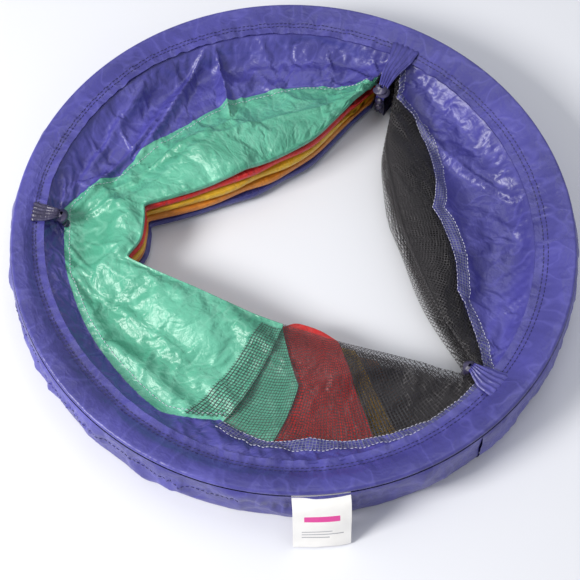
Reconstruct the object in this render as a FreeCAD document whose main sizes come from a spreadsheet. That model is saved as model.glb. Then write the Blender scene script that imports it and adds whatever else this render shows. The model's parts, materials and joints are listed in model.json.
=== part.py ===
import FreeCAD, Part
import os
import Sketcher

# Pop-up agility tunnel for small pets, folded flat and tied. Six sprung steel hoops lie in
# fabric sleeves one above the other, and a folded cloth panel and a net window join each pair.
# Millimetres. The origin is on the tunnel's axis, on the face that it rests on, and +Z is up.

os.makedirs("parts", exist_ok=True)
doc = FreeCAD.newDocument("agility_tunnel")

# ---------------------------------------------------------------- driving dimensions

DIMENSIONS = [
    # alias, value, what it is
    ("outer_radius", 240.0, "radius over the folded sleeves"),
    ("hoop_pitch", 9.0, "height from one folded hoop to the next"),
    ("cloth", 0.5, "thickness of one layer of sleeve cloth"),
    ("wire_radius", 1.25, "radius of the hoop's steel wire"),
    ("wire_angle", 359.4, "angle that the wire covers, a full turn less the gap between its ends"),
    ("ferrule_radius", 1.9, "outer radius of the tube crimped over the wire's ends"),
    ("ferrule_angle", 5.0, "angle of the hoop that the ferrule covers"),
    ("ferrule_azimuth", 128.0, "azimuth of the ferrule"),
    ("sleeve_bulge", 2.5, "outer radius of the sleeve's fold around the wire"),
    ("seam_radius", 213.0, "radius of the stitch line that closes the sleeve"),
    ("hem_radius", 206.0, "inner radius of the hem inside the stitch line"),
    ("hem_gap", 0.6, "air between the two layers of the hem"),
    ("leaf", 0.6, "thickness of one leaf of a folded panel"),
    ("leaf_clearance", 0.4, "air between a folded panel and the sleeve below it"),
    ("cuff_radius", 140.0, "inner radius of the entry cuff, where the coloured panel begins"),
    ("window_azimuth", 70.0, "azimuth of the seams between the cloth panels and the net windows"),
    # the rounded triangle that stays open in the middle: three arcs, each part of a circle
    ("far_side_x", -249.0, "centre of the far side's circle"),
    ("far_side_y", 427.0, "centre of the far side's circle"),
    ("far_side_radius", 425.0, "radius of the far side's circle"),
    ("right_side_x", 636.0, "centre of the right side's circle"),
    ("right_side_y", 167.0, "centre of the right side's circle"),
    ("right_side_radius", 564.0, "radius of the right side's circle"),
    ("near_side_x", 269.0, "centre of the near side's circle"),
    ("near_side_y", 785.0, "centre of the near side's circle"),
    ("near_side_radius", 916.0, "radius of the near side's circle"),
    # the three tie ribbons
    ("ribbon", 0.8, "thickness of a tie ribbon"),
    ("ribbon_angle", 2.6, "angle that a ribbon covers"),
    ("bay_width", 14.0, "width of the bay that a ribbon draws into the folded panels"),
    ("bay_length", 20.0, "radial length of that bay"),
    ("bay_margin", 3.0, "depth of that bay behind the ribbon's inner face"),
    ("knot_depth", 5.0, "how far a half knot stands towards the axis"),
    ("knot_height", 4.5, "height of a half knot"),
    ("parting_gap", 0.4, "air between the two halves of a tie"),
    ("left_tie_azimuth", 179.0, "azimuth of the left tie"),
    ("left_tie_radius", 203.0, "radius at which the left tie turns down into the bore"),
    ("far_tie_azimuth", 64.0, "azimuth of the far tie"),
    ("far_tie_radius", 157.0, "radius at which the far tie turns down into the bore"),
    ("right_tie_azimuth", -39.0, "azimuth of the right tie"),
    ("right_tie_radius", 189.0, "radius at which the right tie turns down into the bore"),
    # the sewn-in tag
    ("tag_azimuth", -83.0, "azimuth of the tag"),
    ("tag_angle", 11.0, "angle that the tag covers"),
    ("tag_thickness", 0.4, "thickness of the tag"),
    ("tag_bend_radius", 241.5, "radius at which the tag turns down over the rim"),
    ("tag_end_radius", 267.0, "radius that the tag's free end reaches"),
    ("tag_floor_gap", 0.5, "air between the tag's free end and the floor"),
    ("tag_hem_gap", 0.1, "air between the tag and the hem of the top sleeve"),
    ("overshoot", 1.0, "how far a block that only cuts reaches past what it cuts"),
]

HOOPS = 6
PANELS = ("blue", "amber", "yellow", "red", "green")     # the cloth between two hoops, from the floor up
TIES = ("left", "far", "right")

sheet = doc.addObject("Spreadsheet::Sheet", "Dimensions")


class Size:
    """A length or angle: its value, and the expression that binds a property to the sheet."""

    def __init__(self, value, text):
        self.value = float(value)
        self.text = text

    def _joined(self, sign, other, value):
        return Size(value, f"({self.text} {sign} {as_size(other).text})")

    def __add__(self, other):
        return self._joined("+", other, self.value + as_size(other).value)

    def __sub__(self, other):
        return self._joined("-", other, self.value - as_size(other).value)

    def __mul__(self, other):
        return self._joined("*", other, self.value * as_size(other).value)

    def __neg__(self):
        return self * -1


def as_size(number):
    """A plain number as a Size; a Size stays as it is."""
    return number if isinstance(number, Size) else Size(number, f"({number})")


size = {}
for row, (alias, value, meaning) in enumerate(DIMENSIONS, start=1):
    sheet.set(f"A{row}", alias)
    sheet.set(f"B{row}", str(value))
    sheet.set(f"C{row}", meaning)
    sheet.setAlias(f"B{row}", alias)
    size[alias] = Size(value, f"Dimensions.{alias}")
doc.recompute()

wire_centre = size["outer_radius"] - size["sleeve_bulge"]      # radius of the hoop's centre line
sleeve_inside = size["sleeve_bulge"] - size["cloth"]
hem_inside = size["hem_gap"] * 0.5                             # hem layers' inner faces, from the wire's level
hem_outside = hem_inside + size["cloth"]                       # and their outer faces
pieces = []                                                    # every piece that is written out


def hoop_level(index):
    """Height of the centre of hoop number index over the floor; hoop 1 lies on the floor."""
    return size["sleeve_bulge"] + size["hoop_pitch"] * (index - 1)


def bind(item, name, wanted):
    """Bind one property of a document object to the sheet."""
    item.setExpression(name, as_size(wanted).text)


def place(item, level, azimuth=0):
    """Lift a piece to its level and turn it to its azimuth."""
    turn = FreeCAD.Rotation(FreeCAD.Vector(0, 0, 1), as_size(azimuth).value)
    item.Placement = FreeCAD.Placement(FreeCAD.Vector(0, 0, level.value), turn)
    bind(item, ".Placement.Base.z", level)
    if as_size(azimuth).value:
        bind(item, ".Placement.Rotation.Angle", azimuth)


# ---------------------------------------------------------------- pieces turned about the axis

def hold(sketch, name, constraint, wanted):
    """Add a named constraint to a sketch and bind it to the sheet."""
    sketch.addConstraint(constraint)
    sketch.renameConstraint(sketch.ConstraintCount - 1, name)
    bind(sketch, f"Constraints.{name}", wanted)


def hold_point(sketch, name, geometry, end, radius, height=None):
    """Hold an end or centre of a sketch line or arc at a radius and, unless an arc gives it, a height."""
    across = Sketcher.Constraint("DistanceX", -1, 1, geometry, end, radius.value)
    hold(sketch, name + "_radius", across, radius)
    if height is not None:
        up = Sketcher.Constraint("DistanceY", -1, 1, geometry, end, height.value)
        hold(sketch, name + "_height", up, height)


def outline_sketch(body, outline):
    """Sketch a closed outline of (radius, height) corners on the body's XZ plane.

    A corner whose third item is "bulge" starts an arc about the wire, on the side away from the axis.
    """
    sketch = body.newObject("Sketcher::SketchObject", body.Name + "_outline")
    plane = [item for item in body.Origin.OriginFeatures if item.Role == "XZ_Plane"][0]
    sketch.AttachmentSupport = [(plane, "")]
    sketch.MapMode = "FlatFace"
    corners = [FreeCAD.Vector(corner[0].value, corner[1].value, 0) for corner in outline]
    wire = FreeCAD.Vector(wire_centre.value, 0, 0)
    edges = []                    # geometry index, its end at this corner, its end at the next
    for index, corner in enumerate(outline):
        start = corners[index]
        end = corners[(index + 1) % len(corners)]
        if len(corner) == 3:
            outermost = wire + FreeCAD.Vector(abs(start.y), 0, 0)
            geometry = sketch.addGeometry(Part.Arc(start, outermost, end), False)
            edges.append((geometry, 1, 2) if end.y > start.y else (geometry, 2, 1))
            hold_point(sketch, f"bulge{index}", geometry, 3, wire_centre, as_size(0))
        else:
            geometry = sketch.addGeometry(Part.LineSegment(start, end), False)
            edges.append((geometry, 1, 2))
    for index, corner in enumerate(outline):
        geometry, first, last = edges[index]
        following, next_first, _ = edges[(index + 1) % len(edges)]
        sketch.addConstraint(Sketcher.Constraint("Coincident", geometry, last, following, next_first))
        ends_an_arc = len(outline[index - 1]) == 3
        hold_point(sketch, f"corner{index}", geometry, first, corner[0], None if ends_an_arc else corner[1])
    return sketch


def turned(label, outline, angle, level, azimuth=0):
    """A piece turned about the axis: a full ring, or an arc of it with its middle at the azimuth."""
    body = doc.addObject("PartDesign::Body", label)
    sketch = outline_sketch(body, outline)
    turn = body.newObject("PartDesign::Revolution", label + "_turn")
    turn.Profile = sketch
    turn.ReferenceAxis = (sketch, ["V_Axis"])
    turn.Midplane = as_size(angle).value < 360
    bind(turn, "Angle", angle)
    body.Tip = turn
    place(body, level, azimuth)
    pieces.append(body)


def torus(label, section_radius, angle, level, azimuth):
    """A bar bent about the axis on the hoop's centre line, from its azimuth on."""
    bar = doc.addObject("Part::Torus", label)
    bind(bar, "Radius1", wire_centre)
    bind(bar, "Radius2", section_radius)
    bind(bar, "Angle3", angle)
    place(bar, level, azimuth)
    return bar


def wire_hoop(index):
    """Sprung steel wire bent into a hoop, its two ends a short gap apart."""
    start = size["ferrule_azimuth"] + (as_size(360) - size["wire_angle"]) * 0.5
    level = hoop_level(index)
    pieces.append(torus(f"wire_hoop_{index}", size["wire_radius"], size["wire_angle"], level, start))


def ferrule(index):
    """Tube crimped over the wire's two ends."""
    start = size["ferrule_azimuth"] - size["ferrule_angle"] * 0.5
    level = hoop_level(index)
    outside = torus(f"ferrule_{index}_outside", size["ferrule_radius"], size["ferrule_angle"], level, start)
    inside = torus(f"ferrule_{index}_inside", size["wire_radius"], size["ferrule_angle"], level, start)
    pieces.append(cut(f"wire_ferrule_{index}", outside, inside))


def sleeve(index):
    """Cloth strip folded around the wire and stitched to itself, with the hem inside the stitches.

    The floor sleeve lies flat on the floor. The others narrow evenly from both sides.
    """
    seam = size["seam_radius"]
    hem = size["hem_radius"]
    if index == 1:
        low = -size["sleeve_bulge"]
        low_inside = low + size["cloth"]
        high_inside = low_inside + size["hem_gap"]
        high = high_inside + size["cloth"]
        outline = [
            (hem, high), (seam, high), (wire_centre, size["sleeve_bulge"], "bulge"),
            (wire_centre, low), (hem, low), (hem, low_inside), (wire_centre, low_inside, "bulge"),
            (wire_centre, sleeve_inside), (seam, high_inside), (hem, high_inside)]
    else:
        outline = [
            (hem, hem_outside), (seam, hem_outside), (wire_centre, size["sleeve_bulge"], "bulge"),
            (wire_centre, -size["sleeve_bulge"]), (seam, -hem_outside), (hem, -hem_outside),
            (hem, -hem_inside), (seam, -hem_inside), (wire_centre, -sleeve_inside, "bulge"),
            (wire_centre, sleeve_inside), (seam, hem_inside), (hem, hem_inside)]
    turned(f"rim_sleeve_{index}", outline, 360, hoop_level(index))


def tie(name):
    """Two ribbons that meet in a knot and hold the hoops together: one sewn along the top sleeve, one
    on the floor sleeve's hem. Both run inside the bore, and each ends in its own half of the knot."""
    azimuth = size[f"{name}_tie_azimuth"]
    inner = size[f"{name}_tie_radius"]
    outer = inner + size["ribbon"]
    knot = inner - size["knot_depth"]
    middle = (hoop_level(1) + hoop_level(HOOPS)) * 0.5
    thick = size["ribbon"]

    top = hoop_level(HOOPS)
    end = middle + size["parting_gap"] * 0.5 - top
    shoulder = end + size["knot_height"]
    crest = size["sleeve_bulge"]
    upper = [
        (inner, hem_outside + thick), (size["seam_radius"], hem_outside + thick), (wire_centre, crest + thick),
        (wire_centre, crest), (size["seam_radius"], hem_outside), (outer, hem_outside),
        (outer, end), (knot, end), (knot, shoulder), (inner, shoulder)]
    turned(f"{name}_tie_upper", upper, size["ribbon_angle"], top, azimuth)

    floor = hoop_level(1)
    end = middle - size["parting_gap"] * 0.5 - floor
    shoulder = end - size["knot_height"]
    hem_top = size["cloth"] * 2 + size["hem_gap"] - size["sleeve_bulge"]
    lower = [
        (inner, hem_top), (size["seam_radius"], hem_top), (size["seam_radius"], hem_top + thick),
        (outer, hem_top + thick), (outer, end), (knot, end), (knot, shoulder), (inner, shoulder)]
    turned(f"{name}_tie_lower", lower, size["ribbon_angle"], floor, azimuth)


def tag():
    """Satin tag sewn under the top sleeve, which hangs out over the rim and down to the floor."""
    top = hoop_level(HOOPS)
    thick = size["tag_thickness"]
    bend = size["tag_bend_radius"]
    end = size["tag_end_radius"]
    foot = size["tag_floor_gap"] - top
    seam = size["seam_radius"] + size["leaf_clearance"]
    under = -size["sleeve_bulge"]
    outline = [
        (seam, -hem_outside - size["tag_hem_gap"]), (wire_centre, under), (bend, under), (end, foot + thick),
        (end, foot), (bend - thick, under - thick), (wire_centre, under - thick), (seam, -hem_outside - thick)]
    turned("woven_tag", outline, size["tag_angle"], top, size["tag_azimuth"])


# ---------------------------------------------------------------- folded panels

def cut(label, base, tool):
    """base less tool."""
    result = doc.addObject("Part::Cut", label)
    result.Base = base
    result.Tool = tool
    return result


def common(label, base, tool):
    """What base and tool share."""
    result = doc.addObject("Part::Common", label)
    result.Base = base
    result.Tool = tool
    return result


def disc(label, radius, low, high, x=0, y=0):
    """Upright cylinder between two heights, with its axis at x and y."""
    cylinder = doc.addObject("Part::Cylinder", label)
    bind(cylinder, "Radius", radius)
    bind(cylinder, "Height", high - low)
    bind(cylinder, ".Placement.Base.x", x)
    bind(cylinder, ".Placement.Base.y", y)
    bind(cylinder, ".Placement.Base.z", low)
    return cylinder


def opening(label, low, high, growth):
    """The three-sided opening that the ties hold in the folded panels, made wider by growth."""
    near = disc(label + "_near", size["near_side_radius"] + growth, low, high,
                size["near_side_x"], size["near_side_y"])
    far = disc(label + "_far", size["far_side_radius"] - growth, low, high,
               size["far_side_x"], size["far_side_y"])
    right = disc(label + "_right", size["right_side_radius"] - growth, low, high,
                 size["right_side_x"], size["right_side_y"])
    return cut(label, cut(label + "_less_far", near, far), right)


def tie_bay(name, label, low, high, growth):
    """Block that clears a ribbon's bay out of the folded panels, made wider by growth."""
    block = doc.addObject("Part::Box", label)
    width = size["bay_width"] + as_size(growth) * 2
    bind(block, "Length", size["bay_length"])
    bind(block, "Width", width)
    bind(block, "Height", high - low)
    azimuth = size[f"{name}_tie_azimuth"]
    start = size[f"{name}_tie_radius"] + size["bay_margin"] + growth - size["bay_length"]
    along = FreeCAD.Rotation(FreeCAD.Vector(0, 0, 1), azimuth.value)
    block.Placement = FreeCAD.Placement(FreeCAD.Vector(0, 0, low.value), along)
    across = width * 0.5
    direction = f"{azimuth.text} * 1 deg"
    corner_x = f"{start.text} * cos({direction}) + {across.text} * sin({direction})"
    corner_y = f"{start.text} * sin({direction}) - {across.text} * cos({direction})"
    block.setExpression(".Placement.Base.x", corner_x)
    block.setExpression(".Placement.Base.y", corner_y)
    bind(block, ".Placement.Base.z", low)
    bind(block, ".Placement.Rotation.Angle", azimuth)
    return block


def pleat_block(label, radius, low, high, growth):
    """Solid disc from one height to another, less the opening and the tie bays."""
    past = size["overshoot"]
    block = cut(label + "_open", disc(label + "_disc", radius, low, high),
                opening(label + "_opening", low - past, high + past, growth))
    for name in TIES:
        bay = tie_bay(name, f"{label}_{name}_bay", low - past, high + past, growth)
        block = cut(f"{label}_less_{name}_bay", block, bay)
    return block


def half_block(label, azimuth, low, high):
    """Block over the half of the tunnel that is on the left when looking outwards along the azimuth."""
    block = doc.addObject("Part::Box", label)
    reach = size["outer_radius"] * 2
    bind(block, "Length", reach)
    bind(block, "Width", reach)
    bind(block, "Height", high - low)
    block.Placement = FreeCAD.Placement(
        FreeCAD.Vector(0, 0, 0), FreeCAD.Rotation(FreeCAD.Vector(0, 0, 1), azimuth.value))
    direction = f"{azimuth.text} * 1 deg"
    block.setExpression(".Placement.Base.x", f"-{size['outer_radius'].text} * cos({direction})")
    block.setExpression(".Placement.Base.y", f"-{size['outer_radius'].text} * sin({direction})")
    bind(block, ".Placement.Base.z", low)
    bind(block, ".Placement.Rotation.Angle", azimuth)
    return block


# A pleat is a cloth tube folded flat: one leaf from the upper sleeve to the opening, one leaf back to
# the lower sleeve. Its heights here count from the upper hoop's level, and every pleat is alike.
pleat_high = -hem_outside
pleat_low = hem_outside + size["leaf_clearance"] - size["hoop_pitch"]
fold_high = pleat_high - size["leaf"]
fold_low = pleat_low + size["leaf"]
pleat_slab = pleat_block("pleat_slab", size["seam_radius"], pleat_low, pleat_high, 0)
pleat_hollow = pleat_block("pleat_hollow", size["seam_radius"] + size["overshoot"], fold_low, fold_high, size["leaf"])
pleat_leaves = cut("pleat_leaves", pleat_slab, pleat_hollow)
below_pleat = pleat_low - size["overshoot"]
above_pleat = pleat_high + size["overshoot"]
cloth_half = half_block("cloth_half", size["window_azimuth"], below_pleat, above_pleat)
net_half = half_block("net_half", size["window_azimuth"] + 180, below_pleat, above_pleat)


def pleat(index, colour):
    """Cloth panel and net window between hoop number index and the one above it."""
    level = hoop_level(index + 1)
    leaves = pleat_leaves
    if index in (1, HOOPS - 1):
        heights = (fold_high, above_pleat) if index > 1 else (below_pleat, fold_low)
        name = "entry" if index > 1 else "exit"
        outside = disc(f"{name}_cuff_outside", size["seam_radius"] + size["overshoot"], *heights)
        inside = disc(f"{name}_cuff_inside", size["cuff_radius"], *heights)
        cuff_ring = cut(f"{name}_cuff_ring", outside, inside)
        cuff = common(f"{name}_cuff", pleat_leaves, cuff_ring)
        place(cuff, level)
        pieces.append(cuff)
        leaves = cut(f"{name}_leaves", pleat_leaves, cuff_ring)
    for label, half in ((f"{colour}_panel", cloth_half), (f"{colour}_net_window", net_half)):
        panel = common(label, leaves, half)
        place(panel, level)
        pieces.append(panel)


# ---------------------------------------------------------------- the assembly

for index in range(1, HOOPS + 1):
    wire_hoop(index)
    ferrule(index)
    sleeve(index)
for index, colour in enumerate(PANELS, start=1):
    pleat(index, colour)
for name in TIES:
    tie(name)
tag()
doc.recompute()

# ---------------------------------------------------------------- check and write

for item in doc.Objects:
    if "Invalid" in item.State or "Error" in item.State:
        raise RuntimeError(f"{item.Label} was not computed: {item.State}")
for piece in pieces:
    if piece.Shape.isNull() or not piece.Shape.isValid():
        raise RuntimeError(f"{piece.Label} has no valid shape")
    if len(piece.Shape.Solids) != 1:
        raise RuntimeError(f"{piece.Label} has {len(piece.Shape.Solids)} solids instead of 1")
    piece.Shape.exportStep(f"parts/{piece.Label}.step")
print(f"{len(pieces)} pieces written")
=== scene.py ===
import json
import math

import bpy
import numpy as np
from mathutils import Matrix, Vector
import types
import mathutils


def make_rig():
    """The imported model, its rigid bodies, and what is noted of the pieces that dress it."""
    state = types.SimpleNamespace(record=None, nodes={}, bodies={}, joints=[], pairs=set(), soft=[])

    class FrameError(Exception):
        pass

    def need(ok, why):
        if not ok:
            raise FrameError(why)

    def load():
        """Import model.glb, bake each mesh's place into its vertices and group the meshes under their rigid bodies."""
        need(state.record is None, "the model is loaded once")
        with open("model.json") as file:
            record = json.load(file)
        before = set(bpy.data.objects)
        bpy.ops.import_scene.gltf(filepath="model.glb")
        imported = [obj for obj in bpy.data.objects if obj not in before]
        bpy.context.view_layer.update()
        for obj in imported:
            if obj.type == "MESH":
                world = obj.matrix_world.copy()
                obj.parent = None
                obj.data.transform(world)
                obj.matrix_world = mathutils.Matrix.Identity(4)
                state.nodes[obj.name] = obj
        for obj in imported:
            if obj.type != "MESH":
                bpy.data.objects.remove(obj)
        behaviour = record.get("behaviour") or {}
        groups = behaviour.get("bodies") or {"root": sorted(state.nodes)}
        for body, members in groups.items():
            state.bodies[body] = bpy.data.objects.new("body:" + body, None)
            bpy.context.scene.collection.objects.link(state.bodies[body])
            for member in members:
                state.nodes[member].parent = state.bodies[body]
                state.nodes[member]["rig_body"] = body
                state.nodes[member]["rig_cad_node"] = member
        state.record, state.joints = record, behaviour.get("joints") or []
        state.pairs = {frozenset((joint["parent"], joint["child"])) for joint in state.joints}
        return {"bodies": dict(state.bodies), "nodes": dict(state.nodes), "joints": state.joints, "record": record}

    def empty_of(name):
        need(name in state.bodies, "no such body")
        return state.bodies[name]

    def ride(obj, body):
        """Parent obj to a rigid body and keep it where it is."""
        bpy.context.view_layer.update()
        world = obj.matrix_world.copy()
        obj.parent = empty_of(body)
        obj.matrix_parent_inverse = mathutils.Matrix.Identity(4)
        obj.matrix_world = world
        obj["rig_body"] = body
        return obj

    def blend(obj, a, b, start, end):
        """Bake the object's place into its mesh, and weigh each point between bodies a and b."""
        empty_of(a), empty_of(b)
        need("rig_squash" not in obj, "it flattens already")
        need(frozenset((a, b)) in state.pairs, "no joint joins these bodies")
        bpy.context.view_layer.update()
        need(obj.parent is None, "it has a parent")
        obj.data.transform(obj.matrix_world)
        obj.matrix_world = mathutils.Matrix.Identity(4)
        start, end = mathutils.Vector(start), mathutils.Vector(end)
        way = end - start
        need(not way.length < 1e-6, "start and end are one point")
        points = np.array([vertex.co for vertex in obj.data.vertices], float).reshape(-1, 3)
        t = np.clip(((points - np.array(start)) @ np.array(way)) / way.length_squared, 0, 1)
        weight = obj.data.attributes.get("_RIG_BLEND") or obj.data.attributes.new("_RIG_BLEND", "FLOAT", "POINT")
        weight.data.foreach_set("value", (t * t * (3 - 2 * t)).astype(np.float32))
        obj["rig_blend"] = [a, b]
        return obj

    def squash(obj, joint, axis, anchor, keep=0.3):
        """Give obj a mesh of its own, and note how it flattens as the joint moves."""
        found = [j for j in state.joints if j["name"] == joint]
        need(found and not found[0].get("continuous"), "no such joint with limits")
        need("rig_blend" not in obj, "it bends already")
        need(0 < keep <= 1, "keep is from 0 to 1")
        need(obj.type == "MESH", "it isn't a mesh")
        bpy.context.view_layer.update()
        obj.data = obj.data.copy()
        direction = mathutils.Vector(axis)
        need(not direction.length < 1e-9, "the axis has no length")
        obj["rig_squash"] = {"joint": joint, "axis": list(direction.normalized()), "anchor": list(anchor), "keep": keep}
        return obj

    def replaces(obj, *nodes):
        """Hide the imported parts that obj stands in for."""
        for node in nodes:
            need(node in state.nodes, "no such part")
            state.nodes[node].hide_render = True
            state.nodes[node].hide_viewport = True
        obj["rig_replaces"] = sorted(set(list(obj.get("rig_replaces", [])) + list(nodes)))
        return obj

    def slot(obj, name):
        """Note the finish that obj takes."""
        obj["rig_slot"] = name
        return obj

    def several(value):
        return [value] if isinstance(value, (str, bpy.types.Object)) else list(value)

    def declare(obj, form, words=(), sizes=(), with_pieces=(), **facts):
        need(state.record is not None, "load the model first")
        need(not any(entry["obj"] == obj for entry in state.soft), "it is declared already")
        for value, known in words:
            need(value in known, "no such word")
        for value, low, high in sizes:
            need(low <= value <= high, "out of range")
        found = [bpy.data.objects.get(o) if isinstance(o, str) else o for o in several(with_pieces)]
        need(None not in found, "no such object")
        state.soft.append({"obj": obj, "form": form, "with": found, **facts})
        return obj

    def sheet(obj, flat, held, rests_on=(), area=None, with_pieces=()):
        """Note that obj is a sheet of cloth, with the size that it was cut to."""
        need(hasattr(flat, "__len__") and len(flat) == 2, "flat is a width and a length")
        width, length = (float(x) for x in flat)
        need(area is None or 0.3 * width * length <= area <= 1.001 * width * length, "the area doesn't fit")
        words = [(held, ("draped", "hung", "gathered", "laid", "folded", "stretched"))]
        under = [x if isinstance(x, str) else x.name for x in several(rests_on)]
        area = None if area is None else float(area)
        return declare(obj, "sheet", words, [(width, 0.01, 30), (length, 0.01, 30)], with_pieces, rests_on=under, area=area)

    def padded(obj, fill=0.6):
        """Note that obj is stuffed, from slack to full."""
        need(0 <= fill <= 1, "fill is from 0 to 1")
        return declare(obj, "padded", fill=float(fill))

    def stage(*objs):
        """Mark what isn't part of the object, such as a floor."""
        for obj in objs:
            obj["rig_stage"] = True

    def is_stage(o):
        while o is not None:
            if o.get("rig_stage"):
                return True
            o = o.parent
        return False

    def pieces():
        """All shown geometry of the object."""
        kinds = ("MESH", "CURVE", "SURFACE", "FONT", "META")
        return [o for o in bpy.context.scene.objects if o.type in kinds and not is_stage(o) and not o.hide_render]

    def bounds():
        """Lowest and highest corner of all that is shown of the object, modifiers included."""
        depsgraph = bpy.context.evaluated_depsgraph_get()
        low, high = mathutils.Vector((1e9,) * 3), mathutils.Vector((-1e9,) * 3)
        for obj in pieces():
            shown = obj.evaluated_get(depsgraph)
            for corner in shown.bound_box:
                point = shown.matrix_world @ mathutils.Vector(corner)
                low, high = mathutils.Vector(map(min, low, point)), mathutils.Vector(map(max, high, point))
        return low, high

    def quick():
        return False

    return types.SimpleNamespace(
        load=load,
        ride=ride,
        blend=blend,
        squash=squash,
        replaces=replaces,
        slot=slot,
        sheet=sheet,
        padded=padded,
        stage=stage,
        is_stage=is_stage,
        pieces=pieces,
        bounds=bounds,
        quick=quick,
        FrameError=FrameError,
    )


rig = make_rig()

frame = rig.load()
cad_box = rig.bounds()


# ---------------------------------------------------------------- floor, lights and camera
# A plain pale floor with a large soft window on the left, a weak one on the right and a pale room
# around them. The camera looks down at the folded tunnel from the side where its tag is sewn.

floor_mesh = bpy.data.meshes.new("pale_floor")
floor_mesh.from_pydata([(-6, -6, -0.0004), (6, -6, -0.0004), (6, 6, -0.0004), (-6, 6, -0.0004)], [], [(0, 1, 2, 3)])
pale_floor = bpy.data.objects.new("pale_floor", floor_mesh)
bpy.context.scene.collection.objects.link(pale_floor)
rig.stage(pale_floor)
floor_finish = bpy.data.materials.new("pale_floor")
floor_finish.use_nodes = True
floor_finish.node_tree.nodes["Principled BSDF"].inputs["Base Color"].default_value = (0.79, 0.80, 0.84, 1)
floor_finish.node_tree.nodes["Principled BSDF"].inputs["Roughness"].default_value = 0.85
floor_mesh.materials.append(floor_finish)


def soft_window(name, azimuth, elevation, distance, width, watts, tint):
    """A large soft light that faces the tunnel from an azimuth and elevation in degrees."""
    lamp = bpy.data.lights.new(name, "AREA")
    lamp.shape = "RECTANGLE"
    lamp.size = width
    lamp.size_y = width
    lamp.energy = watts
    lamp.color = tint
    window = bpy.data.objects.new(name, lamp)
    turn, rise = math.radians(azimuth), math.radians(elevation)
    spot = Vector((math.cos(turn) * math.cos(rise), math.sin(turn) * math.cos(rise), math.sin(rise))) * distance
    window.location = spot
    window.rotation_mode = "QUATERNION"
    window.rotation_quaternion = (-spot).to_track_quat("-Z", "Y")
    bpy.context.scene.collection.objects.link(window)


soft_window("left_window", 208, 36, 1.9, 0.6, 38, (1.0, 0.985, 0.96))
soft_window("overhead", 70, 72, 2.2, 1.2, 8, (0.95, 0.97, 1.0))
soft_window("right_fill", -20, 35, 2.4, 1.4, 2, (0.93, 0.95, 1.0))

room = bpy.data.worlds.new("pale_room")
room.use_nodes = True
room.node_tree.nodes["Background"].inputs["Color"].default_value = (0.93, 0.95, 1.0, 1)
room.node_tree.nodes["Background"].inputs["Strength"].default_value = 0.46
bpy.context.scene.world = room
bpy.context.scene.view_settings.view_transform = "Standard"

lens = bpy.data.cameras.new("camera")
lens.sensor_width = 36
lens.lens = 81.9
camera = bpy.data.objects.new("camera", lens)
bpy.context.scene.collection.objects.link(camera)
camera_rise, camera_far, camera_roll = math.radians(61.99), 1.1137, math.radians(2.55)
aim = Vector((-0.0018, -0.0526, 0.03))
back = Vector((0, -math.cos(camera_rise), math.sin(camera_rise)))
camera.location = aim + back * camera_far
camera.rotation_mode = "QUATERNION"
camera.rotation_quaternion = (-back).to_track_quat("-Z", "Y") @ Matrix.Rotation(camera_roll, 3, "Z").to_quaternion()
bpy.context.scene.camera = camera


# ---------------------------------------------------------------- steel hoops
# Six hoops of oiled spring wire, each closed by a short zinc plated tube crimped over its ends.
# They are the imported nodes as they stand, inside the sleeves.


class Signal:
    """A value that runs through a finish's nodes; arithmetic on it adds Math nodes."""

    def __init__(self, tree, socket=None):
        self.tree = tree
        self.socket = socket

    def node(self, kind, settings=(), sockets=(), output=0):
        """A node of one kind: its settings first, then the values or signals of its sockets."""
        made = self.tree.nodes.new(kind)
        for name, value in dict(settings).items():
            setattr(made, name, value)
        for name, value in dict(sockets).items():
            if isinstance(value, Signal):
                self.tree.links.new(value.socket, made.inputs[name])
            else:
                made.inputs[name].default_value = value
        return Signal(self.tree, made.outputs[output] if made.outputs else None)

    def maths(self, operation, *values):
        return self.node("ShaderNodeMath", {"operation": operation}, dict(enumerate(values)))

    def __add__(self, other):
        return self.maths("ADD", self, other)

    __radd__ = __add__

    def __sub__(self, other):
        return self.maths("SUBTRACT", self, other)

    def __rsub__(self, other):
        return self.maths("SUBTRACT", other, self)

    def __mul__(self, other):
        return self.maths("MULTIPLY", self, other)

    __rmul__ = __mul__

    def tinted(self, low, high):
        """The colour low where the signal is 0, and high where it is 1."""
        return self.node("ShaderNodeMix", {"data_type": "RGBA"},
                         {0: self, 6: (*low, 1) if not isinstance(low, Signal) else low,
                          7: (*high, 1) if not isinstance(high, Signal) else high}, output=2)


def new_finish(name):
    """An empty finish, and the signal that its nodes start from."""
    finish = bpy.data.materials.new(name)
    finish.use_nodes = True
    finish.node_tree.nodes.clear()
    return finish, Signal(finish.node_tree)


def wear_finish(node, finish):
    """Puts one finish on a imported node."""
    mesh = frame["nodes"][node].data
    mesh.materials.clear()
    mesh.materials.append(finish)


def metal(name, dark, light, roughness, grain):
    finish, start = new_finish(name)
    at = start.node("ShaderNodeTexCoord", output=3)
    mottle = start.node("ShaderNodeTexNoise", {}, {"Vector": at, "Scale": grain, "Detail": 5.0})
    fine = start.node("ShaderNodeTexNoise", {}, {"Vector": at, "Scale": grain * 9, "Detail": 3.0})
    relief = start.node("ShaderNodeBump", {}, {"Strength": 0.25, "Distance": 0.0001, "Height": fine})
    shader = start.node("ShaderNodeBsdfPrincipled", {}, {
        "Base Color": mottle.tinted(dark, light), "Roughness": mottle * 0.25 + roughness,
        "Metallic": 1.0, "Normal": relief})
    start.node("ShaderNodeOutputMaterial", {}, {"Surface": shader})
    return finish


HOOPS = 6
spring_steel = metal("spring_steel", (0.16, 0.16, 0.17), (0.34, 0.34, 0.36), 0.28, 260)
crimped_steel = metal("crimped_steel", (0.42, 0.42, 0.43), (0.62, 0.62, 0.62), 0.30, 420)
for hoop in range(1, HOOPS + 1):
    wear_finish(f"wire_hoop_{hoop}", spring_steel)
    wear_finish(f"wire_ferrule_{hoop}", crimped_steel)


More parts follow.
